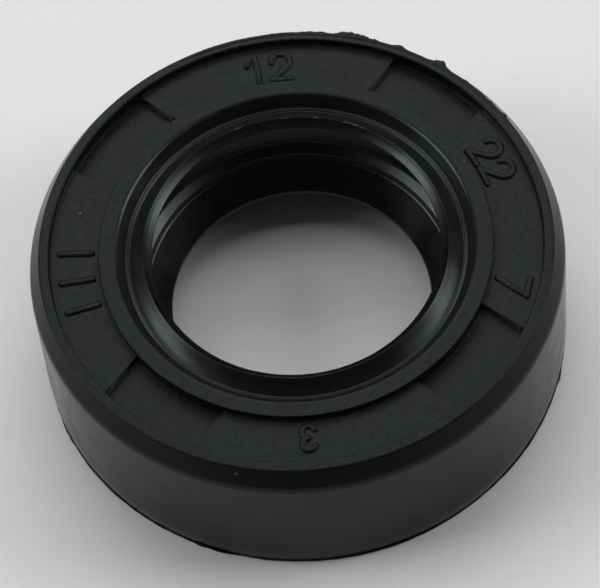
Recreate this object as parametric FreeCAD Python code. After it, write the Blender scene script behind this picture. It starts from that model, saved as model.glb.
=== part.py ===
import FreeCAD, Part
import math
import os

# Sealing ring for a turning shaft: a black rubber body moulded over a pressed
# steel case, with a main lip, a dust lip and a coiled garter spring.
# Millimetres. The axis is Z. The open spring side stands on Z = 0 and the
# marked front face looks up at Z = ring_width.

# Nominal sizes of the ring, as its own raised numbers give them.
shaft_radius = 6.0
outer_radius = 11.0
ring_width = 7.0

# Outside edges.
front_chamfer_depth = 0.47
front_chamfer_height = 0.90
back_chamfer_depth = 0.10
back_chamfer_height = 0.70
outer_edge_rounding = 0.22
small_edge_rounding = 0.05

# Front face: a flat rim land, a sunk band with four pads and four pockets,
# and a raised inner rim round the bore.
rim_land_width = 0.43
pad_sink = 0.35
pocket_sink = 0.66
pocket_width = 4.44
pocket_count = 4
pocket_angle = 47.5
inner_rim_width = 0.70

# Bore, counted outwards from the shaft.
rim_bore_gap = 1.38
rim_bevel_depth = 0.35
rim_bevel_height = 0.48
ledge_width = 0.12
ledge_drop = 0.035

# Dust lip: a thin collar with a sharp crest that stands almost as high as
# the front face. It falls outwards to a trough and inwards to its edge.
dust_trough_gap = 0.86
dust_trough_sink = 0.56
dust_crest_gap = 0.27
dust_crest_sink = 0.08
dust_lip_gap = -0.07
dust_lip_sink = 0.38
dust_lip_edge_height = 0.04

# Grease groove between the two lips, and the shoulder it ends on.
groove_gap = 0.82
groove_sink = 1.30
groove_rounding = 0.45
groove_foot_gap = 0.84
groove_foot_sink = 2.86
shoulder_gap = 0.45
shoulder_sink = 3.13

# Main lip, counted up from the back face.
lip_setback = 1.30
lip_squeeze = 0.58
lip_edge_height = 1.00
lip_edge_band = 0.20
lip_root_gap = 0.32
lip_root_rise = 1.17
lip_nose_gap = 0.36
lip_nose_rise = 0.12

# Garter spring and its groove.
spring_coil_radius = 0.57
spring_gap = 1.17
spring_rise = 1.40
spring_clearance = 0.03
spring_hook = 0.33

# Wall that carries the lips, and the rubber under the case's flange.
lip_wall_lean = 0.12
flange_under_cover = 0.45
cavity_rounding = 0.40

# Pressed steel case.
case_thickness = 0.60
case_outer_cover = 0.70
case_front_cover = 1.10
case_end_cover = 0.60
case_flange_gap = 0.52
case_bend_rounding = 0.70
case_inner_rounding = 0.10
back_bore_chamfer = 0.25

# Raised size numbers and plain bars on the pads.
mark_height = 1.60
mark_width = 0.92
mark_stroke = 0.24
mark_rise = 0.12
mark_root = 0.06
mark_foot_margin = 0.16
small_mark_scale = 0.78
bar_spacing = 8.5

# Levels and radii that follow from the sizes above.
pad_level = ring_width - pad_sink
pocket_level = ring_width - pocket_sink
land_inner_radius = outer_radius - front_chamfer_depth - rim_land_width
rim_bore_radius = shaft_radius + rim_bore_gap
inner_rim_radius = rim_bore_radius + inner_rim_width
ledge_level = ring_width - rim_bevel_height
ledge_outer_radius = rim_bore_radius - rim_bevel_depth
ledge_inner_radius = ledge_outer_radius - ledge_width
dust_lip_radius = shaft_radius + dust_lip_gap
dust_lip_level = ring_width - dust_lip_sink
dust_trough_radius = shaft_radius + dust_trough_gap
dust_crest_radius = shaft_radius + dust_crest_gap
groove_radius = shaft_radius + groove_gap
lip_radius = shaft_radius - lip_squeeze
lip_edge_level = lip_setback + lip_edge_height
lip_root_radius = shaft_radius + lip_root_gap
lip_root_level = lip_edge_level + lip_edge_band + lip_root_rise
spring_radius = shaft_radius + spring_gap
spring_level = lip_setback + spring_rise
spring_seat = spring_coil_radius + spring_clearance
spring_hook_radius = spring_radius + spring_hook
case_outer_radius = outer_radius - case_outer_cover
case_inner_radius = case_outer_radius - case_thickness
case_top = ring_width - case_front_cover
flange_bottom = case_top - case_thickness
flange_radius = rim_bore_radius + case_flange_gap
cavity_top = flange_bottom - flange_under_cover
mark_foot_radius = inner_rim_radius + mark_foot_margin


def section_face(corners):
    """Flat face in the XZ plane from corners (radius, height, rounding)."""
    points = [FreeCAD.Vector(r, 0, z) for r, z, _ in corners]
    starts = []
    arcs = []
    total = len(points)
    for i in range(total):
        here = points[i]
        rounding = corners[i][2]
        if rounding <= 0:
            starts.append((here, here))
            arcs.append(None)
            continue
        back = (points[i - 1] - here).normalize()
        ahead = (points[(i + 1) % total] - here).normalize()
        half = back.getAngle(ahead) / 2
        reach = rounding / math.tan(half)
        first = here + back * reach
        last = here + ahead * reach
        inward = (back + ahead).normalize()
        centre = here + inward * (rounding / math.sin(half))
        middle = centre - inward * rounding
        starts.append((first, last))
        arcs.append(Part.Arc(first, middle, last).toShape())
    edges = []
    for i in range(total):
        if arcs[i] is not None:
            edges.append(arcs[i])
        leave = starts[i][1]
        arrive = starts[(i + 1) % total][0]
        if leave.distanceToPoint(arrive) > 1e-6:
            edges.append(Part.makeLine(leave, arrive))
    return Part.Face(Part.Wire(edges))


def turned(corners):
    """Ring made by turning a section once round the Z axis."""
    axis_point = FreeCAD.Vector(0, 0, 0)
    axis_direction = FreeCAD.Vector(0, 0, 1)
    return section_face(corners).revolve(axis_point, axis_direction, 360)


def ring_band(inner, outer, bottom, top):
    """Plain tube between two radii and two levels."""
    base = FreeCAD.Vector(0, 0, bottom)
    tube = Part.makeCylinder(outer, top - bottom, base)
    hole = Part.makeCylinder(inner, top - bottom, base)
    return tube.cut(hole)


# The case's own outline where the rubber meets it, from its inner wall over
# the flange to the outer wall and round the lower end.
case_contact = [
    (case_inner_radius, flange_bottom, case_inner_rounding),
    (flange_radius, flange_bottom, 0),
    (flange_radius, case_top, 0),
    (case_outer_radius, case_top, case_bend_rounding),
    (case_outer_radius, case_end_cover, 0),
    (case_inner_radius, case_end_cover, 0),
]

outside = [
    (outer_radius - back_chamfer_depth, 0, small_edge_rounding),
    (outer_radius, back_chamfer_height, 0),
    (outer_radius, ring_width - front_chamfer_height, outer_edge_rounding),
    (outer_radius - front_chamfer_depth, ring_width, small_edge_rounding),
]

front_face = [
    (land_inner_radius, ring_width, small_edge_rounding),
    (land_inner_radius, pad_level, small_edge_rounding),
    (inner_rim_radius, pad_level, small_edge_rounding),
    (inner_rim_radius, ring_width, small_edge_rounding),
    (rim_bore_radius, ring_width, small_edge_rounding),
    (ledge_outer_radius, ledge_level, 0),
    (ledge_inner_radius, ledge_level - ledge_drop, 0),
]

dust_lip = [
    (dust_trough_radius, ring_width - dust_trough_sink, 0),
    (dust_crest_radius, ring_width - dust_crest_sink, 0),
    (dust_lip_radius, dust_lip_level, 0),
    (dust_lip_radius, dust_lip_level - dust_lip_edge_height, 0),
    (groove_radius, ring_width - groove_sink, groove_rounding),
    (shaft_radius + groove_foot_gap, ring_width - groove_foot_sink, 0),
    (shaft_radius + shoulder_gap, ring_width - shoulder_sink, 0),
]

main_lip = [
    (lip_root_radius, lip_root_level, 0),
    (lip_radius, lip_edge_level + lip_edge_band, 0),
    (lip_radius, lip_edge_level, 0),
    (shaft_radius + lip_nose_gap, lip_setback + lip_nose_rise, small_edge_rounding),
    (shaft_radius + lip_nose_gap + lip_nose_rise, lip_setback, 0),
]

spring_groove = [
    (spring_radius, lip_setback, small_edge_rounding),
    (spring_hook_radius, spring_level - spring_seat - spring_hook, small_edge_rounding),
    (spring_hook_radius, spring_level - spring_seat, small_edge_rounding),
    (spring_radius - spring_seat, spring_level - spring_seat, spring_seat),
    (spring_radius - spring_seat, spring_level + spring_seat, spring_seat),
    (spring_radius + small_edge_rounding, spring_level + spring_seat, 0),
]

cavity = [
    (spring_radius + small_edge_rounding + lip_wall_lean, cavity_top, cavity_rounding),
    (case_inner_radius, cavity_top, 0),
]

back_end = [
    (case_inner_radius, back_bore_chamfer, 0),
    (case_inner_radius + back_bore_chamfer, 0, 0),
]

rubber = turned(
    outside
    + front_face
    + dust_lip
    + main_lip
    + spring_groove
    + cavity
    + case_contact
    + back_end
)

# Four pockets with parallel walls, cut deeper than the pads between them.
pocket_band = ring_band(inner_rim_radius, land_inner_radius, pocket_level, pad_level + pad_sink / 2)
for index in range(pocket_count):
    block = Part.makeBox(
        outer_radius,
        pocket_width,
        ring_width,
        FreeCAD.Vector(0, -pocket_width / 2, 0),
    )
    turn = pocket_angle + index * 360 / pocket_count
    block.rotate(FreeCAD.Vector(0, 0, 0), FreeCAD.Vector(0, 0, 1), turn)
    rubber = rubber.cut(pocket_band.common(block))


def bar_stroke(start, end, stroke):
    """Upright bar with round ends from start to end on the XY plane."""
    height = mark_rise + mark_root
    run = math.dist(start, end)
    body = Part.makeBox(run, stroke, height, FreeCAD.Vector(0, -stroke / 2, 0))
    near_end = Part.makeCylinder(stroke / 2, height)
    far_end = Part.makeCylinder(stroke / 2, height, FreeCAD.Vector(run, 0, 0))
    bar = body.fuse([near_end, far_end]).removeSplitter()
    lean = math.degrees(math.atan2(end[1] - start[1], end[0] - start[0]))
    bar.rotate(FreeCAD.Vector(0, 0, 0), FreeCAD.Vector(0, 0, 1), lean)
    bar.translate(FreeCAD.Vector(start[0], start[1], 0))
    return bar


def arc_stroke(centre, radius, first, last, stroke):
    """Upright curved bar of a part turn between two angles in degrees."""
    height = mark_rise + mark_root
    corners = [
        (radius - stroke / 2, 0, 0),
        (radius + stroke / 2, 0, 0),
        (radius + stroke / 2, height, 0),
        (radius - stroke / 2, height, 0),
    ]
    axis_point = FreeCAD.Vector(0, 0, 0)
    axis_direction = FreeCAD.Vector(0, 0, 1)
    arc = section_face(corners).revolve(axis_point, axis_direction, last - first)
    arc.rotate(axis_point, axis_direction, first)
    arc.translate(FreeCAD.Vector(centre[0], centre[1], 0))
    return arc


def numeral(figure, scale):
    """Raised numeral that stands on its foot line and is centred on X."""
    height = mark_height * scale
    half = (mark_width * scale - mark_stroke) / 2
    low = mark_stroke / 2
    high = height - mark_stroke / 2
    if figure == 1:
        strokes = [
            bar_stroke((0, low), (0, high), mark_stroke),
            bar_stroke((0, high), (-half, high - half), mark_stroke),
        ]
    elif figure == 2:
        bowl = (0, high - half)
        turn_off = (half * math.cos(math.radians(-35)), bowl[1] + half * math.sin(math.radians(-35)))
        strokes = [
            arc_stroke(bowl, half, -35, 180, mark_stroke),
            bar_stroke(turn_off, (-half, low), mark_stroke),
            bar_stroke((-half, low), (half, low), mark_stroke),
        ]
    elif figure == 3:
        bowl = (high - low) / 4
        strokes = [
            arc_stroke((0, high - bowl), bowl, -90, 160, mark_stroke),
            arc_stroke((0, low + bowl), bowl, -160, 90, mark_stroke),
        ]
    else:
        strokes = [
            bar_stroke((-half, high), (half, high), mark_stroke),
            bar_stroke((half, high), (-half / 2, low), mark_stroke),
        ]
    return strokes[0].fuse(strokes[1:])


def on_pad(mark, angle):
    """Set a mark on a pad with its top outwards, at an angle round the ring."""
    placed = mark.copy()
    placed.translate(FreeCAD.Vector(0, mark_foot_radius, pad_level - mark_root))
    placed.rotate(FreeCAD.Vector(0, 0, 0), FreeCAD.Vector(0, 0, 1), angle - 90)
    return placed


# Pads lie half a pitch before each pocket. The numerals give bore, outside
# diameter and width, and the single small one counts the mould's cavity.
pitch = 360 / pocket_count
right_pad = pocket_angle - pitch / 2
far_pad = right_pad + pitch
left_pad = far_pad + pitch
near_pad = left_pad + pitch
marks = [
    on_pad(numeral(2, 1), right_pad + 21.3),
    on_pad(numeral(2, 1), right_pad + 14.3),
    on_pad(numeral(7, 1), right_pad - 21.3),
    on_pad(numeral(1, 1), far_pad + 2.3),
    on_pad(numeral(2, 1), far_pad - 4.1),
    on_pad(numeral(3, small_mark_scale), near_pad - 4.8),
]
plain_bar = bar_stroke((0, mark_stroke / 2), (0, mark_height - mark_stroke / 2), mark_stroke)
for step in (-1, 0, 1):
    marks.append(on_pad(plain_bar, left_pad + step * bar_spacing))

rubber = rubber.fuse(marks)

steel = turned(case_contact)

spring = Part.makeTorus(spring_radius, spring_coil_radius)
spring.translate(FreeCAD.Vector(0, 0, spring_level))

os.makedirs("parts", exist_ok=True)
pieces = {
    "rubber_body": rubber,
    "steel_case": steel,
    "garter_spring": spring,
}
for name, shape in pieces.items():
    solid = shape.Solids[0]
    print(name, "solids", len(shape.Solids), "valid", solid.isValid())
    print("  volume", round(solid.Volume, 3), "faces", len(solid.Faces))
    solid.exportStep("parts/" + name + ".step")
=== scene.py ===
# %% [markdown]
# # A rubber sealing ring on a pale table
# This ring keeps grease in and dust out where a turning shaft leaves a housing.
# It is black rubber moulded over a pressed steel case. A coiled steel spring
# lies in the open side underneath and pulls the main lip onto the shaft.
# The construction is already fixed in the CAD model. This lesson dresses it:
# it turns a finely rounded body, raises the size numbers, winds the spring,
# leaves the torn rubber that the mould left behind, and lights it all.

# %% Load the fixed frame
import math

import bmesh
import bpy
from mathutils import Matrix, Vector, noise


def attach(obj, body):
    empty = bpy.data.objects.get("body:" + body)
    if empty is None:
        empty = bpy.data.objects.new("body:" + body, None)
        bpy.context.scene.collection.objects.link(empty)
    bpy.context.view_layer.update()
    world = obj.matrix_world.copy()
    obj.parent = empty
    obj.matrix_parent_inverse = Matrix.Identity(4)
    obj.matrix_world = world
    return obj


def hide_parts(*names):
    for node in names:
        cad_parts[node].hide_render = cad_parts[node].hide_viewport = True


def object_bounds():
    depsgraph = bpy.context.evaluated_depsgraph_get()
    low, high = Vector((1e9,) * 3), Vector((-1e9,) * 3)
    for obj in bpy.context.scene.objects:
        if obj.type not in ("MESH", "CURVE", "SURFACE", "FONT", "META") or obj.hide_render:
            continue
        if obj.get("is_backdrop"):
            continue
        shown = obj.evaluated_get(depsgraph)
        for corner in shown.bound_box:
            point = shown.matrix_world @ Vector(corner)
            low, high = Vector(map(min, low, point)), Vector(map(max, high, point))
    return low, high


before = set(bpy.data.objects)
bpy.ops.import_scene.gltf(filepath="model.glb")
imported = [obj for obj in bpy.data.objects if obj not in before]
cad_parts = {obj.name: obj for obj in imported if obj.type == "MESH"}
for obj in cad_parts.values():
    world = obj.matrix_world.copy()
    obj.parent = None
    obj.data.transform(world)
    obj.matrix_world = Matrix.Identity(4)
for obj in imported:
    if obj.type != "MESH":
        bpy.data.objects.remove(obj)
cad_low, cad_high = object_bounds()
print("CAD nodes:", sorted(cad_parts))
print("CAD box in mm:", [round((b - a) * 1000, 3) for a, b in zip(cad_low, cad_high)])

# %% [markdown]
# ## The camera first
# A photograph of a small thing is taken from some way off with a long lens.
# The camera here stands 160 mm away and looks down at 58.7 degrees, tipped
# by six and a half degrees, as the slanted ellipses of the ring show.
# Turning about X sets the look down, and the turn about the camera's own Z
# after it is the tilt of the picture.

# %% Camera
target = Vector((-0.000046, -0.0024, 0.007))
look_down = math.radians(58.70)
tilt = math.radians(-6.585)
distance = 0.1596

camera_data = bpy.data.cameras.new("camera")
camera_data.lens = 236.63
camera_data.sensor_width = 36.0
camera_data.clip_start = 0.01
camera_data.clip_end = 5.0
camera = bpy.data.objects.new("camera", camera_data)
bpy.context.scene.collection.objects.link(camera)
backwards = Vector((0, -math.cos(look_down), math.sin(look_down)))
camera.matrix_world = (
    Matrix.Translation(target + backwards * distance)
    @ Matrix.Rotation(math.pi / 2 - look_down, 4, "X")
    @ Matrix.Rotation(tilt, 4, "Z")
)
bpy.context.scene.camera = camera
print("camera at", [round(c, 4) for c in camera.matrix_world.translation])

# %% [markdown]
# ## Two helpers that every piece uses
# All pieces are modelled in millimetres, because the ring's own numbers are
# millimetres. The first helper shrinks a finished mesh to metres, so the
# object itself stays unscaled and sits at the origin like a CAD node.
# Doubles are merged and normals recalculated there too, because spinning
# can turn a shape inside out. The second helper adds a modifier that keeps
# the flat faces looking flat.


# %% From a bmesh to a finished piece
def finish_piece(shape, name):
    """Turn a millimetre bmesh into a piece that rides on the ring."""
    bmesh.ops.remove_doubles(shape, verts=shape.verts[:], dist=0.0005)
    bmesh.ops.recalc_face_normals(shape, faces=shape.faces[:])
    bmesh.ops.scale(shape, vec=(0.001, 0.001, 0.001), verts=shape.verts[:])
    for face in shape.faces:
        face.smooth = True
    mesh = bpy.data.meshes.new(name)
    shape.to_mesh(mesh)
    shape.free()
    piece = bpy.data.objects.new(name, mesh)
    bpy.context.scene.collection.objects.link(piece)
    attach(piece, "root")
    print(name, "has", len(mesh.vertices), "vertices and", len(mesh.polygons), "faces")
    return piece


def steady_shading(piece):
    """Keep flat faces flat beside small roundings."""
    weighted = piece.modifiers.new("steady_shading", "WEIGHTED_NORMAL")
    weighted.mode = "FACE_AREA"
    weighted.weight = 100
    weighted.keep_sharp = True


# %% [markdown]
# ## The section of the rubber body
# A turned part is one flat section carried round an axis, so all the skill
# is in the section. It runs up the outside, across the marked front face,
# down through the bore over the dust lip and the main lip, round the spring
# groove and the open side, and back along the steel case.
# Each corner is written as radius, height and how far its rounding reaches.
# Rubber that comes out of a mould has no knife edges, except at the lips.

# %% Corners of the section, in millimetres
outside = [
    (10.90, 0.00, 0.05),
    (11.00, 0.70, 0.30),
    (11.00, 6.10, 0.16),
    (10.53, 6.97, 0.06),
]
front_face = [
    (10.12, 7.00, 0.09),
    (10.10, 6.65, 0.00),
    (8.08, 6.65, 0.00),
    (8.08, 7.00, 0.05),
    (7.38, 7.00, 0.12),
    (7.03, 6.52, 0.012),
    (6.91, 6.47, 0.008),
]
dust_lip = [
    (6.87, 6.43, 0.02),
    (6.58, 6.63, 0.14),
    (6.27, 6.92, 0.006),
    (6.13, 6.77, 0.08),
    (5.93, 6.62, 0.02),
    (5.93, 6.58, 0.02),
    (6.82, 5.70, 0.30),
    (6.84, 4.14, 0.08),
    (6.45, 3.88, 0.025),
    (6.43, 3.79, 0.025),
    (6.39, 3.755, 0.02),
    (6.37, 3.69, 0.02),
    (6.32, 3.66, 0.03),
]
main_lip = [
    (5.42, 2.50, 0.05),
    (5.42, 2.30, 0.05),
    (6.36, 1.42, 0.05),
    (6.48, 1.30, 0.05),
    (7.17, 1.30, 0.06),
]
spring_groove = [
    (7.50, 1.77, 0.08),
    (7.50, 2.10, 0.06),
    (6.57, 2.10, 0.59),
    (6.57, 3.30, 0.59),
    (7.22, 3.30, 0.04),
    (7.34, 4.85, 0.40),
]
steel_seat = [
    (9.70, 4.85, 0.00),
    (9.70, 5.30, 0.10),
    (7.90, 5.30, 0.00),
    (7.90, 5.90, 0.00),
    (10.30, 5.90, 0.70),
    (10.30, 0.60, 0.00),
    (9.70, 0.60, 0.00),
    (9.70, 0.25, 0.03),
    (9.95, 0.00, 0.03),
]
section = outside + front_face + dust_lip + main_lip + spring_groove + steel_seat
print("the section has", len(section), "corners")

# %% [markdown]
# ## Rounding the corners
# The section is drawn as one flat face. The bevel operator on its corner
# points rounds them as a draughtsman would, with the reach given per corner.
# The face is then deleted, because only its outline is wanted.
# Long straights get a guard point near each end. Smooth shading bends the
# light across a whole face, and the guard keeps that bend in a narrow strip.

# %% Flat section with rounded corners
wide_reach = 0.2
small_reach = 0.035
pad_level = 6.65
pocket_level = 6.34
rim_radius = 8.08
land_radius = 10.10


def rounding_segments(reach):
    """More segments on a wide rounding, few on one that is hardly seen."""
    if reach > wide_reach:
        return 6
    return 4 if reach > small_reach else 2


def rounded_section(corners):
    """Flat face in the XZ plane whose corners are rounded one by one."""
    shape = bmesh.new()
    points = [shape.verts.new((r, 0, z)) for r, z, _ in corners]
    shape.faces.new(points)
    for point, (_, _, reach) in zip(points, corners):
        if reach > 0:
            bmesh.ops.bevel(
                shape,
                geom=[point],
                offset=reach,
                offset_type="OFFSET",
                segments=rounding_segments(reach),
                profile=0.5,
                affect="VERTICES",
                material=-1,
            )
    bmesh.ops.delete(shape, geom=shape.faces[:], context="FACES_ONLY")
    return shape


def add_guard_points(shape, reach):
    """Split every long straight close to both ends, so that it shades flat."""
    for edge in shape.edges[:]:
        on_pad_line = any(abs(v.co.z - pad_level) < 0.001 for v in edge.verts)
        if edge.calc_length() < 5 * reach or on_pad_line:
            continue
        first, last = edge.verts
        guard = bmesh.utils.edge_split(edge, first, reach / edge.calc_length())[1]
        long_part = max(guard.link_edges, key=lambda e: e.calc_length())
        bmesh.utils.edge_split(long_part, last, reach / long_part.calc_length())


# %% [markdown]
# The outline is spun once round the axis, as clay would be on a wheel. A
# full spin needs use_merge, or the first and last outlines stay separate.
# The step count is high enough for the round outside to look round in a
# close picture, and low enough to keep the piece light.

# %% Turn the section into the body
turn_steps = 320
guard_reach = 0.02
body = rounded_section(section)
add_guard_points(body, guard_reach)
print("the rounded outline has", len(body.edges), "edges")
bmesh.ops.spin(
    body,
    geom=body.verts[:] + body.edges[:],
    cent=(0, 0, 0),
    axis=(0, 0, 1),
    angle=math.tau,
    steps=turn_steps,
    use_merge=True,
)
bmesh.ops.remove_doubles(body, verts=body.verts[:], dist=0.0005)
bmesh.ops.recalc_face_normals(body, faces=body.faces[:])

# %% [markdown]
# ## Four pockets between the pads
# The band round the front face is cut deeper in four places, and the walls
# of each pocket are parallel, so a plain angle round the ring can't give
# them. Two cutting planes per pocket slice the faces of the band exactly
# along the walls. What lies between the planes is then extruded and
# pushed down, which keeps the body closed.


# %% Slice and sink the pockets
def on_band(face):
    """True for the flat faces of the sunk band."""
    centre = face.calc_center_median()
    radius = math.hypot(centre.x, centre.y)
    flat = abs(centre.z - pad_level) < 0.001
    return flat and rim_radius < radius < land_radius


def parts_of(faces):
    """The faces with their own edges and corners, as operators want them."""
    edges = {edge for face in faces for edge in face.edges}
    corners = {corner for face in faces for corner in face.verts}
    return list(faces) + list(edges) + list(corners)


pocket_width = 4.44
first_pocket = 47.5
beyond_bore = 7.0
pocket_turns = [math.radians(first_pocket + 90 * k) for k in range(4)]
for turn in pocket_turns:
    outward = Vector((math.cos(turn), math.sin(turn), 0))
    across = Vector((-math.sin(turn), math.cos(turn), 0))
    for side in (-1, 1):
        near = [
            face
            for face in body.faces
            if on_band(face) and face.calc_center_median().dot(outward) > beyond_bore
        ]
        bmesh.ops.bisect_plane(
            body,
            geom=parts_of(near),
            dist=0.0005,
            plane_co=across * (side * pocket_width / 2),
            plane_no=across,
        )

sunk = []
for face in body.faces:
    centre = face.calc_center_median()
    for turn in pocket_turns:
        outward = Vector((math.cos(turn), math.sin(turn), 0))
        across = Vector((-math.sin(turn), math.cos(turn), 0))
        between = abs(centre.dot(across)) < pocket_width / 2 - 0.001
        if on_band(face) and between and centre.dot(outward) > beyond_bore:
            sunk.append(face)
lowered = bmesh.ops.extrude_face_region(body, geom=parts_of(sunk))
lowered_corners = [v for v in lowered["geom"] if isinstance(v, bmesh.types.BMVert)]
bmesh.ops.translate(body, vec=(0, 0, pocket_level - pad_level), verts=lowered_corners)
print("pocket faces sunk:", len(sunk))

# %% [markdown]
# A mould is cut with a round-nosed tool, so the foot of every wall has a
# small fillet, and that fillet catches a thin line of light. One bevel on
# the outline of all pads and pockets makes them, and softens the pocket
# edges in the same go.


# %% Fillets at the foot of the walls
def is_step(edge):
    """True where the band's floor meets a wall."""
    levels = [abs(v.co.z - pad_level) < 0.001 for v in edge.verts]
    deep = [abs(v.co.z - pocket_level) < 0.001 for v in edge.verts]
    if not (all(levels) or all(deep)) or len(edge.link_faces) != 2:
        return False
    return edge.calc_face_angle(0) > math.radians(40)


fillet_reach = 0.08
smallest_flat = 0.005
steps = [edge for edge in body.edges if is_step(edge)]
bmesh.ops.bevel(
    body,
    geom=steps,
    offset=fillet_reach,
    offset_type="OFFSET",
    segments=3,
    profile=0.5,
    affect="EDGES",
    material=-1,
    clamp_overlap=True,
)
flats = []
for face in body.faces:
    level = face.calc_center_median().z
    on_floor = abs(level - pad_level) < 0.001 or abs(level - pocket_level) < 0.001
    if on_floor and abs(face.normal.z) > 0.999 and face.calc_area() > smallest_flat:
        flats.append(face)
bmesh.ops.inset_region(
    body, faces=flats, thickness=guard_reach, use_even_offset=True, use_boundary=True
)
print("step edges rounded:", len(steps), "flat faces guarded:", len(flats))

# %% [markdown]
# ## Which face gets which finish
# The mould's front plate is spark-eroded and leaves a dull, grained skin.
# The bore and the lips come from a polished core and are smoother. Faces
# get their finish by where they lie on the section.

# %% Sort the faces by finish
FACE, SIDE, BORE = 0, 1, 2
bore_limit = 7.40
side_limit = 10.56
underside_limit = 1.2
for face in body.faces:
    centre = face.calc_center_median()
    radius = math.hypot(centre.x, centre.y)
    if radius < bore_limit and centre.z > underside_limit:
        face.material_index = BORE
    elif radius > side_limit:
        face.material_index = SIDE
    else:
        face.material_index = FACE
rubber_body = finish_piece(body, "rubber_ring")
steady_shading(rubber_body)
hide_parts("rubber_body")

# %% [markdown]
# ## Raised size numbers
# The numbers are cut into the mould with a small ball cutter, so on the
# rubber each stroke is a low bead with round ends. A bead is made like a
# tube: a ring of points is extruded along the stroke's path, with three
# smaller rings at each end for the rounding, and then the whole is
# flattened. A font would be quicker, but its strokes have flat
# tops and sharp corners, and the real ones don't.


# %% A bead along a path
def bead(shape, path, width):
    """Round-ended bead along flat points, half sunk in the XY plane."""
    sides = 12
    points = [Vector((x, y, 0)) for x, y in path]
    first_run = (points[1] - points[0]).normalized()
    last_run = (points[-1] - points[-2]).normalized()
    stations = []
    for k in (1, 2, 3):
        turned = k * math.pi / 8
        place = points[0] - first_run * width / 2 * math.cos(turned)
        stations.append((place, first_run, math.sin(turned)))
    for i, point in enumerate(points):
        before = points[max(i - 1, 0)]
        after = points[min(i + 1, len(points) - 1)]
        stations.append((point, (after - before).normalized(), 1.0))
    for k in (3, 2, 1):
        turned = k * math.pi / 8
        place = points[-1] + last_run * width / 2 * math.cos(turned)
        stations.append((place, last_run, math.sin(turned)))

    rim = None
    for place, run, size in stations:
        sideways = Vector((-run.y, run.x, 0))
        upright = Matrix((sideways, Vector((0, 0, 1)), run)).transposed().to_4x4()
        if rim is None:
            made = bmesh.ops.create_circle(
                shape,
                cap_ends=True,
                segments=sides,
                radius=width / 2 * size,
                matrix=Matrix.Translation(place) @ upright,
            )
            cap = made["verts"][0].link_faces[0]
            rim = list(cap.edges)
            centre, heading, girth = place, upright, size
            continue
        grown = bmesh.ops.extrude_edge_only(shape, edges=rim)["geom"]
        corners = [v for v in grown if isinstance(v, bmesh.types.BMVert)]
        rim = [e for e in grown if isinstance(e, bmesh.types.BMEdge)]
        step = Matrix.Translation(place) @ upright @ Matrix.Scale(size / girth, 4)
        step = step @ heading.inverted() @ Matrix.Translation(-centre)
        bmesh.ops.transform(shape, matrix=step, verts=corners)
        centre, heading, girth = place, upright, size
    bmesh.ops.contextual_create(shape, geom=rim)


def arc(centre, radius, first, last, count=14):
    """Points along part of a circle, angles in degrees."""
    points = []
    for k in range(count + 1):
        angle = math.radians(first + (last - first) * k / count)
        x = centre[0] + radius * math.cos(angle)
        y = centre[1] + radius * math.sin(angle)
        points.append((x, y))
    return points


# %% [markdown]
# Each figure is one or two strokes on a small grid, with its foot on zero.
# The figures are read with their tops towards the outside of the ring.
# Twelve is the bore, twenty-two the outside and seven the width in
# millimetres, and the small three counts the place in the mould.

# %% Strokes of the figures
stroke_width = 0.30
figure_height = 1.60
figure_width = 1.10


def figure_strokes(figure):
    """Paths of one figure, standing on zero and centred across."""
    half = (figure_width - stroke_width) / 2
    low = stroke_width / 2
    high = figure_height - stroke_width / 2
    if figure == "1":
        return [[(-half, high - half), (0, high), (0, low)]]
    if figure == "2":
        bowl = arc((0, high - half), half, 180, -35)
        return [bowl + [(-half, low)], [(-half, low), (half, low)]]
    if figure == "3":
        bowl = (high - low) / 4
        top = arc((0, high - bowl), bowl, 160, -90)
        foot = arc((0, low + bowl), bowl, 90, -160)
        return [top, foot]
    if figure == "7":
        return [[(-half, high), (half, high)], [(half, high), (-half / 2, low)]]
    return [[(0, low), (0, high)]]


# %% [markdown]
# The figures are set on the pads at their angles round the ring. The left
# pad carries three plain bars. A bead is flattened to the height that the
# numbers stand proud of the pad, about a tenth of a millimetre.

# %% Set the figures on the pads
foot_radius = rim_radius + 0.15
bead_height = 0.11
bead_sink = 0.01
placed_figures = [
    ("2", 23.8, 1.0),
    ("2", 16.8, 1.0),
    ("7", 341.2, 1.0),
    ("1", 94.8, 1.0),
    ("2", 88.4, 1.0),
    ("3", 267.7, 0.84),
    ("bar", 174.0, 1.0),
    ("bar", 182.5, 1.0),
    ("bar", 191.0, 1.0),
]
marks = bmesh.new()
for figure, angle, size in placed_figures:
    one = bmesh.new()
    for path in figure_strokes(figure):
        bead(one, path, stroke_width / (size ** 0.5))
    flatten = 2 * bead_height / stroke_width
    onto_pad = (0, foot_radius, pad_level - bead_sink)
    round_the_ring = Matrix.Rotation(math.radians(angle - 90), 3, "Z")
    bmesh.ops.scale(one, vec=(size, size, flatten), verts=one.verts[:])
    bmesh.ops.translate(one, vec=onto_pad, verts=one.verts[:])
    bmesh.ops.rotate(one, cent=(0, 0, 0), matrix=round_the_ring, verts=one.verts[:])
    spare = bpy.data.meshes.new("figure")
    one.to_mesh(spare)
    one.free()
    marks.from_mesh(spare)
    bpy.data.meshes.remove(spare)
raised_marks = finish_piece(marks, "size_numbers")

# %% [markdown]
# ## Torn rubber on the far edge
# Where the mould halves meet, a film of rubber is squeezed out and torn
# off by hand. Here some of it is left on the far right edge: small points,
# a sharp tooth and a broad rough tongue. It is spun as a thin strip along
# the edge, and then its outer points are pulled out by the heights in the
# list, with a little seeded noise so that no line between them is straight.

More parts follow.
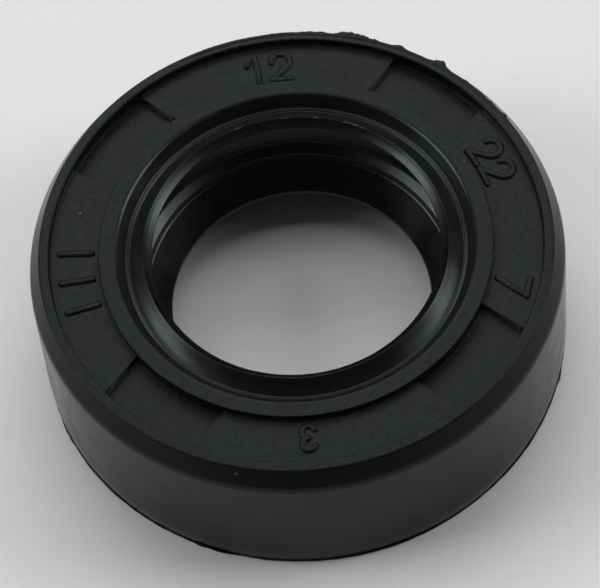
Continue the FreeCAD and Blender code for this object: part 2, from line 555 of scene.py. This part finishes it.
# %% Torn edge
# each pair is an angle in degrees and a height in millimetres
tears = [
    (26, 0.00), (28, 0.02), (29, 0.09), (30, 0.02), (31.5, 0.00), (33.4, 0.035), (35, 0.01),
    (37, 0.035), (38.5, 0.02), (40, 0.02), (42, 0.05), (43, 0.00), (45.5, 0.00), (47, 0.045),
    (48, 0.10), (49, 0.22), (50, 0.175), (51, 0.09), (52, 0.02), (54, 0.00), (56.5, 0.01),
    (58, 0.02), (59, 0.09), (60, 0.11), (61, 0.05), (62, 0.00), (64.5, 0.00), (66, 0.065),
    (67, 0.03), (68, 0.10), (70, 0.125), (72, 0.15), (73, 0.145), (74, 0.11), (75, 0.04),
    (76, 0.00), (77, 0.01), (78, 0.065), (79, 0.045), (80, 0.03), (81, 0.06), (82, 0.04),
    (84, 0.015), (86, 0.03), (89, 0.03), (92, 0.01), (98, 0.02), (105, 0.02), (112, 0.00),
]


def height_at(points, angle):
    """Height between the listed points at an angle in degrees."""
    for (first, low), (last, high) in zip(points, points[1:]):
        if first <= angle <= last:
            return low + (high - low) * (angle - first) / (last - first)
    return 0.0


def spun_strip(corners_in_section, first, last, steps):
    """Closed strip along a part turn; its section's corners are radius and height."""
    shape = bmesh.new()
    corners = [shape.verts.new((r, 0, z)) for r, z in corners_in_section]
    for corner, following in zip(corners, corners[1:] + corners[:1]):
        shape.edges.new((corner, following))
    start = Matrix.Rotation(math.radians(first), 3, "Z")
    bmesh.ops.rotate(shape, cent=(0, 0, 0), matrix=start, verts=shape.verts[:])
    bmesh.ops.spin(
        shape,
        geom=shape.verts[:] + shape.edges[:],
        cent=(0, 0, 0),
        axis=(0, 0, 1),
        angle=math.radians(last - first),
        steps=steps,
    )
    open_ends = [edge for edge in shape.edges if edge.is_boundary]
    bmesh.ops.holes_fill(shape, edges=open_ends, sides=len(corners))
    return shape


def polar(corner):
    """Radius and angle in degrees of a corner, seen from above."""
    radius = math.hypot(corner.co.x, corner.co.y)
    angle = math.degrees(math.atan2(corner.co.y, corner.co.x))
    return radius, angle


torn_steps = 430
torn_section = [(10.30, 6.93), (10.38, 7.004), (10.50, 6.992), (10.545, 6.90)]
torn = spun_strip(torn_section, tears[0][0], tears[-1][0], torn_steps)
for corner in torn.verts:
    radius, angle = polar(corner)
    if radius > 10.45:
        grain = noise.noise(Vector((angle * 2.3, 0.0, 4.0)))
        grain += 0.7 * noise.noise(Vector((angle * 5.1, 3.0, 1.0)))
        pull = max(0.0, height_at(tears, angle) * (1 + 0.4 * grain) + 0.022 * grain)
        corner.co.x *= (radius + pull) / radius
        corner.co.y *= (radius + pull) / radius
        corner.co.z += (0.12 if radius < 10.52 else 0.45) * pull
    elif radius > 10.35:
        corner.co.z += 0.014 * noise.noise(Vector((angle * 3.1, 2.0, 0)))
torn_edge = finish_piece(torn, "torn_edge")

# %% [markdown]
# ## Film on the dust lip
# The same film was trimmed off the crest of the dust lip, and on the far
# side a few slivers of it are left. They are no thicker than a hair, but
# their flat tops catch the light as short dashes. The strip lies just
# inside the crest and comes out of it only where the list lifts it.

# %% Slivers on the crest
slivers = [
    (54, 0.00), (56.5, 0.00), (57, 0.07), (59, 0.06), (59.5, 0.02), (60, 0.09),
    (62, 0.07), (62.5, 0.02), (63, 0.08), (66, 0.06), (66.5, 0.00), (74.5, 0.00),
    (75, 0.07), (77.5, 0.05), (78, 0.00), (86, 0.00), (86.5, 0.03), (90, 0.035),
    (91, 0.00), (105, 0.00), (105.5, 0.06), (108, 0.045), (108.5, 0.00), (112, 0.00),
]
film_steps = 300
film_section = [(6.31, 6.83), (6.297, 6.872), (6.243, 6.872), (6.235, 6.83)]
film = spun_strip(film_section, slivers[0][0], slivers[-1][0], film_steps)
for corner in film.verts:
    if corner.co.z > 6.85:
        angle = polar(corner)[1]
        ragged = 1 + 0.5 * noise.noise(Vector((angle * 4.0, 5.0, 2.0)))
        corner.co.z += height_at(slivers, angle) * ragged
lip_film = finish_piece(film, "lip_film")
lip_film.data.shade_flat()

# %% [markdown]
# ## The thin lip round the foot
# The same film shows as a thin lip where the ring stands on the table, and
# it draws the fine dark line along the foot. It is spun once round, then
# its outer points wander a little, and in three places a scrap sticks out.

# %% Foot lip
scraps = [
    (196, 0.00), (199, 0.05), (200, 0.02), (201, 0.04), (203, 0.00),
    (239, 0.00), (241, 0.05), (243, 0.03), (245, 0.06), (247, 0.04), (250, 0.00),
    (338, 0.00), (340, 0.06), (341, 0.03), (344, 0.00),
]
foot = bmesh.new()
foot_steps = 480
foot_section = [(10.78, 0.004), (10.94, 0.004), (10.96, 0.06), (10.92, 0.13), (10.80, 0.20)]
corners = [foot.verts.new((r, 0, z)) for r, z in foot_section]
for corner, following in zip(corners, corners[1:] + corners[:1]):
    foot.edges.new((corner, following))
bmesh.ops.spin(
    foot,
    geom=foot.verts[:] + foot.edges[:],
    cent=(0, 0, 0),
    axis=(0, 0, 1),
    angle=math.tau,
    steps=foot_steps,
    use_merge=True,
)
for corner in foot.verts:
    radius, angle = polar(corner)
    if radius > 10.9:
        around = Vector((corner.co.x, corner.co.y, 0)) / radius
        slow = noise.noise(around * 2.0 + Vector((0, 0, 7)))
        quick = noise.noise(around * 26.0)
        out = 1 + (0.03 * slow + 0.02 * quick + height_at(scraps, angle % 360)) / radius
        corner.co.x *= out
        corner.co.y *= out
foot_lip = finish_piece(foot, "foot_lip")

# %% [markdown]
# ## The garter spring
# The real spring is wound as one long straight coil and hooked into a ring,
# and it is made the same way here. A small ring of points is spun many
# turns with a step along the axis, which winds a short straight coil. Four
# doublings make it as long as the ring is round. Then every point's place
# along the coil becomes an angle round the lip, and the ends meet.

# %% Wind the spring and close it into a ring
spring_radius = 7.17
spring_level = 2.70
coil_radius = 0.57
wire_radius = 0.10
coil_turns = 208
steps_per_turn = 14
doublings = 4
spring_length = math.tau * spring_radius
wire = bmesh.new()
bmesh.ops.create_circle(
    wire,
    segments=6,
    radius=wire_radius,
    matrix=Matrix.Translation((0, coil_radius - wire_radius, 0)),
)
short_turns = coil_turns // 2**doublings
short_length = spring_length / 2**doublings
bmesh.ops.spin(
    wire,
    geom=wire.verts[:] + wire.edges[:],
    cent=(0, 0, 0),
    axis=(1, 0, 0),
    dvec=(short_length / (short_turns * steps_per_turn), 0, 0),
    angle=math.tau * short_turns,
    steps=short_turns * steps_per_turn,
)
for doubling in range(doublings):
    wound = wire.verts[:] + wire.edges[:] + wire.faces[:]
    copy = bmesh.ops.duplicate(wire, geom=wound)["geom"]
    moved = [v for v in copy if isinstance(v, bmesh.types.BMVert)]
    bmesh.ops.translate(wire, vec=(short_length * 2**doubling, 0, 0), verts=moved)
for point in wire.verts:
    round_angle = point.co.x / spring_radius
    reach = spring_radius + point.co.y
    level = spring_level + point.co.z
    point.co = Vector((reach * math.cos(round_angle), reach * math.sin(round_angle), level))
garter_spring = finish_piece(wire, "coiled_spring")
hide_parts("garter_spring")

# %% [markdown]
# ## Rubber finishes
# Carbon-black rubber has almost no colour of its own. What the eye reads
# is a broad, dull reflection, broken by the grain that the mould left.
# So the base colour is nearly black, and the work goes into roughness and
# bump: a fine grain, a slower unevenness, and a few light specks of dust.
# One function makes all three finishes. The face is the roughest, the
# outside wall has the finest grain, and the bore shines most.


# %% Rubber with a moulded grain
def node(tree, kind, values=None, settings=None):
    """Add a node and set its inputs and its options."""
    added = tree.nodes.new(kind)
    for key, value in (settings or {}).items():
        setattr(added, key, value)
    for key, value in (values or {}).items():
        added.inputs[key].default_value = value
    return added


def rubber_finish(name, dark, light, rough, mirror, grain_scale, grain_depth, dust):
    """Dull black rubber whose grain, tone and dust come from noise."""
    material = bpy.data.materials.new(name)
    material.use_nodes = True
    tree = material.node_tree
    link = tree.links.new
    shader = tree.nodes["Principled BSDF"]
    shader.inputs["Specular IOR Level"].default_value = mirror
    shader.inputs["Specular Tint"].default_value = (0.88, 1.0, 0.96, 1)
    place = node(tree, "ShaderNodeTexCoord").outputs["Object"]

    grain = node(tree, "ShaderNodeTexNoise", {"Scale": grain_scale, "Detail": 4.0, "Roughness": 0.6})
    link(place, grain.inputs["Vector"])
    cloud = node(tree, "ShaderNodeTexNoise", {"Scale": 700.0, "Detail": 3.0, "Roughness": 0.55})
    link(place, cloud.inputs["Vector"])

    mottle = node(tree, "ShaderNodeTexNoise", {"Scale": 5200.0, "Detail": 3.0, "Roughness": 0.7})
    link(place, mottle.inputs["Vector"])
    patchy = node(tree, "ShaderNodeMapRange", {"From Min": 0.32, "From Max": 0.68})
    link(mottle.outputs["Fac"], patchy.inputs["Value"])
    tone = node(tree, "ShaderNodeMix", {"A": dark, "B": light}, {"data_type": "RGBA"})
    link(patchy.outputs["Result"], tone.inputs["Factor"])

    specks = node(tree, "ShaderNodeTexVoronoi", {"Scale": 1500.0, "Randomness": 1.0})
    link(place, specks.inputs["Vector"])
    speck_size = node(
        tree,
        "ShaderNodeMapRange",
        {"From Min": 0.02, "From Max": 0.10, "To Min": 1.0, "To Max": 0.0},
    )
    link(specks.outputs["Distance"], speck_size.inputs["Value"])
    rare = node(tree, "ShaderNodeSeparateColor")
    link(specks.outputs["Color"], rare.inputs["Color"])
    chosen = node(tree, "ShaderNodeMath", {1: 1.0 - dust}, {"operation": "GREATER_THAN"})
    link(rare.outputs["Red"], chosen.inputs[0])
    speck = node(tree, "ShaderNodeMath", None, {"operation": "MULTIPLY"})
    link(speck_size.outputs["Result"], speck.inputs[0])
    link(chosen.outputs["Value"], speck.inputs[1])
    dusty = node(tree, "ShaderNodeMix", {"B": (0.16, 0.16, 0.15, 1)}, {"data_type": "RGBA"})
    link(speck.outputs["Value"], dusty.inputs["Factor"])
    link(tone.outputs["Result"], dusty.inputs["A"])
    link(dusty.outputs["Result"], shader.inputs["Base Color"])

    shine = node(
        tree,
        "ShaderNodeMapRange",
        {"From Min": 0.3, "From Max": 0.7, "To Min": rough - 0.06, "To Max": rough + 0.06},
    )
    link(cloud.outputs["Fac"], shine.inputs["Value"])
    link(shine.outputs["Result"], shader.inputs["Roughness"])

    relief = node(tree, "ShaderNodeBump", {"Strength": 1.0, "Distance": grain_depth})
    link(grain.outputs["Fac"], relief.inputs["Height"])
    link(relief.outputs["Normal"], shader.inputs["Normal"])
    return material


face_rubber = rubber_finish(
    "moulded_face_rubber",
    dark=(0.0003, 0.0007, 0.0006, 1),
    light=(0.0098, 0.0122, 0.0118, 1),
    rough=0.39,
    mirror=0.20,
    grain_scale=6500.0,
    grain_depth=0.000015,
    dust=0.06,
)
side_rubber = rubber_finish(
    "side_rubber",
    dark=(0.0010, 0.0014, 0.0013, 1),
    light=(0.0036, 0.0047, 0.0045, 1),
    rough=0.23,
    mirror=0.17,
    grain_scale=7000.0,
    grain_depth=0.0000015,
    dust=0.06,
)
bore_rubber = rubber_finish(
    "polished_bore_rubber",
    dark=(0.0018, 0.0023, 0.0022, 1),
    light=(0.0036, 0.0045, 0.0043, 1),
    rough=0.32,
    mirror=0.48,
    grain_scale=5000.0,
    grain_depth=0.000002,
    dust=0.02,
)
for finish in (face_rubber, side_rubber, bore_rubber):
    rubber_body.data.materials.append(finish)
raised_marks.data.materials.append(face_rubber)
torn_edge.data.materials.append(face_rubber)
lip_film.data.materials.append(bore_rubber)
foot_lip.data.materials.append(side_rubber)
print("rubber finishes:", face_rubber.name, side_rubber.name, bore_rubber.name)

# %% [markdown]
# ## Steel finishes
# The case is pressed from sheet and phosphated, so its bare inner wall is a
# dull grey with a fine mottle. The spring is drawn wire, brighter and
# smoother. One function makes both. A single noise drives its tone, shine
# and relief together, so the paler patches are also the duller ones.


# %% Steel for the case and the spring
def steel_finish(name, dark, light, rough, mottle_scale, depth):
    """Bare steel with a mottled tone and an uneven shine."""
    material = bpy.data.materials.new(name)
    material.use_nodes = True
    tree = material.node_tree
    link = tree.links.new
    shader = tree.nodes["Principled BSDF"]
    shader.inputs["Metallic"].default_value = 1.0
    place = node(tree, "ShaderNodeTexCoord").outputs["Object"]
    mottle = node(tree, "ShaderNodeTexNoise", {"Scale": mottle_scale, "Detail": 6.0, "Roughness": 0.65})
    link(place, mottle.inputs["Vector"])
    tone = node(tree, "ShaderNodeMix", {"A": dark, "B": light}, {"data_type": "RGBA"})
    link(mottle.outputs["Fac"], tone.inputs["Factor"])
    link(tone.outputs["Result"], shader.inputs["Base Color"])
    shine = node(
        tree,
        "ShaderNodeMapRange",
        {"From Min": 0.3, "From Max": 0.7, "To Min": rough - 0.1, "To Max": rough + 0.1},
    )
    link(mottle.outputs["Fac"], shine.inputs["Value"])
    link(shine.outputs["Result"], shader.inputs["Roughness"])
    relief = node(tree, "ShaderNodeBump", {"Strength": 1.0, "Distance": depth})
    link(mottle.outputs["Fac"], relief.inputs["Height"])
    link(relief.outputs["Normal"], shader.inputs["Normal"])
    return material


case_steel = steel_finish(
    "phosphated_steel", (0.34, 0.34, 0.35, 1), (0.56, 0.56, 0.57, 1), 0.45, 3000.0, 0.000004
)
wire_steel = steel_finish(
    "spring_wire_steel", (0.46, 0.46, 0.47, 1), (0.66, 0.66, 0.67, 1), 0.28, 6000.0, 0.000001
)
case_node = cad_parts["steel_case"]
case_node.data.materials.clear()
case_node.data.materials.append(case_steel)
garter_spring.data.materials.append(wire_steel)
print("steel finishes:", case_steel.name, wire_steel.name)

# %% [markdown]
# ## The paper table
# The ring stands on a large sheet of pale paper, so the paper fills the view from any side. Towards the
# camera a painted shade darkens the paper's colour and stands in for the edge of the light, because the
# near chamfer mirrors that part and has to stay dark. The painted shade begins outside the picture.

# %% Paper table
half_width = 0.60
half_depth = 0.70
centre_y = 0.20
painted_shade_begins = -0.028
painted_shade_ends = -0.085
table = bmesh.new()
bmesh.ops.create_grid(table, x_segments=2, y_segments=2, size=1.0)
bmesh.ops.scale(table, vec=(half_width, half_depth, 1), verts=table.verts[:])
bmesh.ops.translate(table, vec=(0, centre_y, 0), verts=table.verts[:])
table_mesh = bpy.data.meshes.new("paper_table")
table.to_mesh(table_mesh)
table.free()
paper_table = bpy.data.objects.new("paper_table", table_mesh)
bpy.context.scene.collection.objects.link(paper_table)
paper_table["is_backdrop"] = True

paper = bpy.data.materials.new("pale_paper")
paper.use_nodes = True
paper_tree = paper.node_tree
paper_shader = paper_tree.nodes["Principled BSDF"]
paper_shader.inputs["Roughness"].default_value = 0.9
paper_shader.inputs["Specular IOR Level"].default_value = 0.1
paper_place = node(paper_tree, "ShaderNodeTexCoord").outputs["Object"]
fibres = node(paper_tree, "ShaderNodeTexNoise", {"Scale": 1800.0, "Detail": 5.0, "Roughness": 0.6})
paper_tree.links.new(paper_place, fibres.inputs["Vector"])
paper_tone = node(
    paper_tree,
    "ShaderNodeMix",
    {"A": (0.87, 0.875, 0.875, 1), "B": (0.92, 0.92, 0.92, 1)},
    {"data_type": "RGBA"},
)
paper_tree.links.new(fibres.outputs["Fac"], paper_tone.inputs["Factor"])
across_paper = node(paper_tree, "ShaderNodeSeparateXYZ")
paper_tree.links.new(paper_place, across_paper.inputs["Vector"])
# painted shade: a ramp along Y darkens the paper's colour towards the camera
lit_part = node(
    paper_tree,
    "ShaderNodeMapRange",
    {"From Min": painted_shade_ends, "From Max": painted_shade_begins},
    {"interpolation_type": "SMOOTHSTEP"},
)
paper_tree.links.new(across_paper.outputs["Y"], lit_part.inputs["Value"])
painted_shade_tone = node(
    paper_tree,
    "ShaderNodeMix",
    {"A": (0.33, 0.33, 0.335, 1)},
    {"data_type": "RGBA"},
)
paper_tree.links.new(lit_part.outputs["Result"], painted_shade_tone.inputs["Factor"])
paper_tree.links.new(paper_tone.outputs["Result"], painted_shade_tone.inputs["B"])
paper_tree.links.new(painted_shade_tone.outputs["Result"], paper_shader.inputs["Base Color"])
table_mesh.materials.append(paper)
print("paper:", 2 * half_width, "by", 2 * half_depth, "metres")

# %% [markdown]
# ## Lamps and a dim room
# Dull black rubber shows little but what it reflects, so the places of the
# lamps matter more than their strength. A wide soft lamp beyond the ring
# greys the front face, and one high up brightens the paper and leaves a
# shadow in the hole. Two lamps left and right give the bright streaks in
# the bore and on the outside wall, and the camera's side stays dark.
# Brightness here is what the eye sees of the lamp's face, so the energy
# grows with the lamp's size.


# %% Lamps
def soft_lamp(name, place, width, height, brightness):
    """Flat lamp that faces the ring, with its brightness as the eye sees it."""
    lamp_data = bpy.data.lights.new(name, "AREA")
    lamp_data.shape = "RECTANGLE"
    lamp_data.size = width
    lamp_data.size_y = height
    lamp_data.energy = brightness * math.pi * width * height
    lamp = bpy.data.objects.new(name, lamp_data)
    bpy.context.scene.collection.objects.link(lamp)
    lamp.location = place
    towards = Vector((0, 0, 0.004)) - Vector(place)
    lamp.rotation_mode = "QUATERNION"
    lamp.rotation_quaternion = towards.to_track_quat("-Z", "Y")
    print(name, "energy", round(lamp_data.energy, 3))


soft_lamp("far_lamp", (0.0, 0.38, 0.34), 0.60, 0.26, 2.4)
soft_lamp("top_lamp", (0.0, 0.09, 0.49), 0.50, 0.19, 2.08)
soft_lamp("left_lamp", (-0.43, 0.02, 0.275), 0.22, 0.32, 3.9)
soft_lamp("right_lamp", (0.43, 0.02, 0.275), 0.22, 0.32, 3.9)

world = bpy.data.worlds.new("room")
world.use_nodes = True
world.node_tree.nodes["Background"].inputs["Color"].default_value = (0.05, 0.05, 0.052, 1)
world.node_tree.nodes["Background"].inputs["Strength"].default_value = 1.0
bpy.context.scene.world = world
bpy.context.scene.view_settings.view_transform = "Standard"

# %% [markdown]
# ## Sizes
# The dressed ring has to keep the CAD model's size, so both boxes are printed side by side.

# %% Print both boxes
look_low, look_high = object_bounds()
sizes = {
    "cad_low": list(cad_low),
    "cad_high": list(cad_high),
    "look_low": list(look_low),
    "look_high": list(look_high),
}
for key, corner in sizes.items():
    print(key, "in mm:", [round(c * 1000, 3) for c in corner])
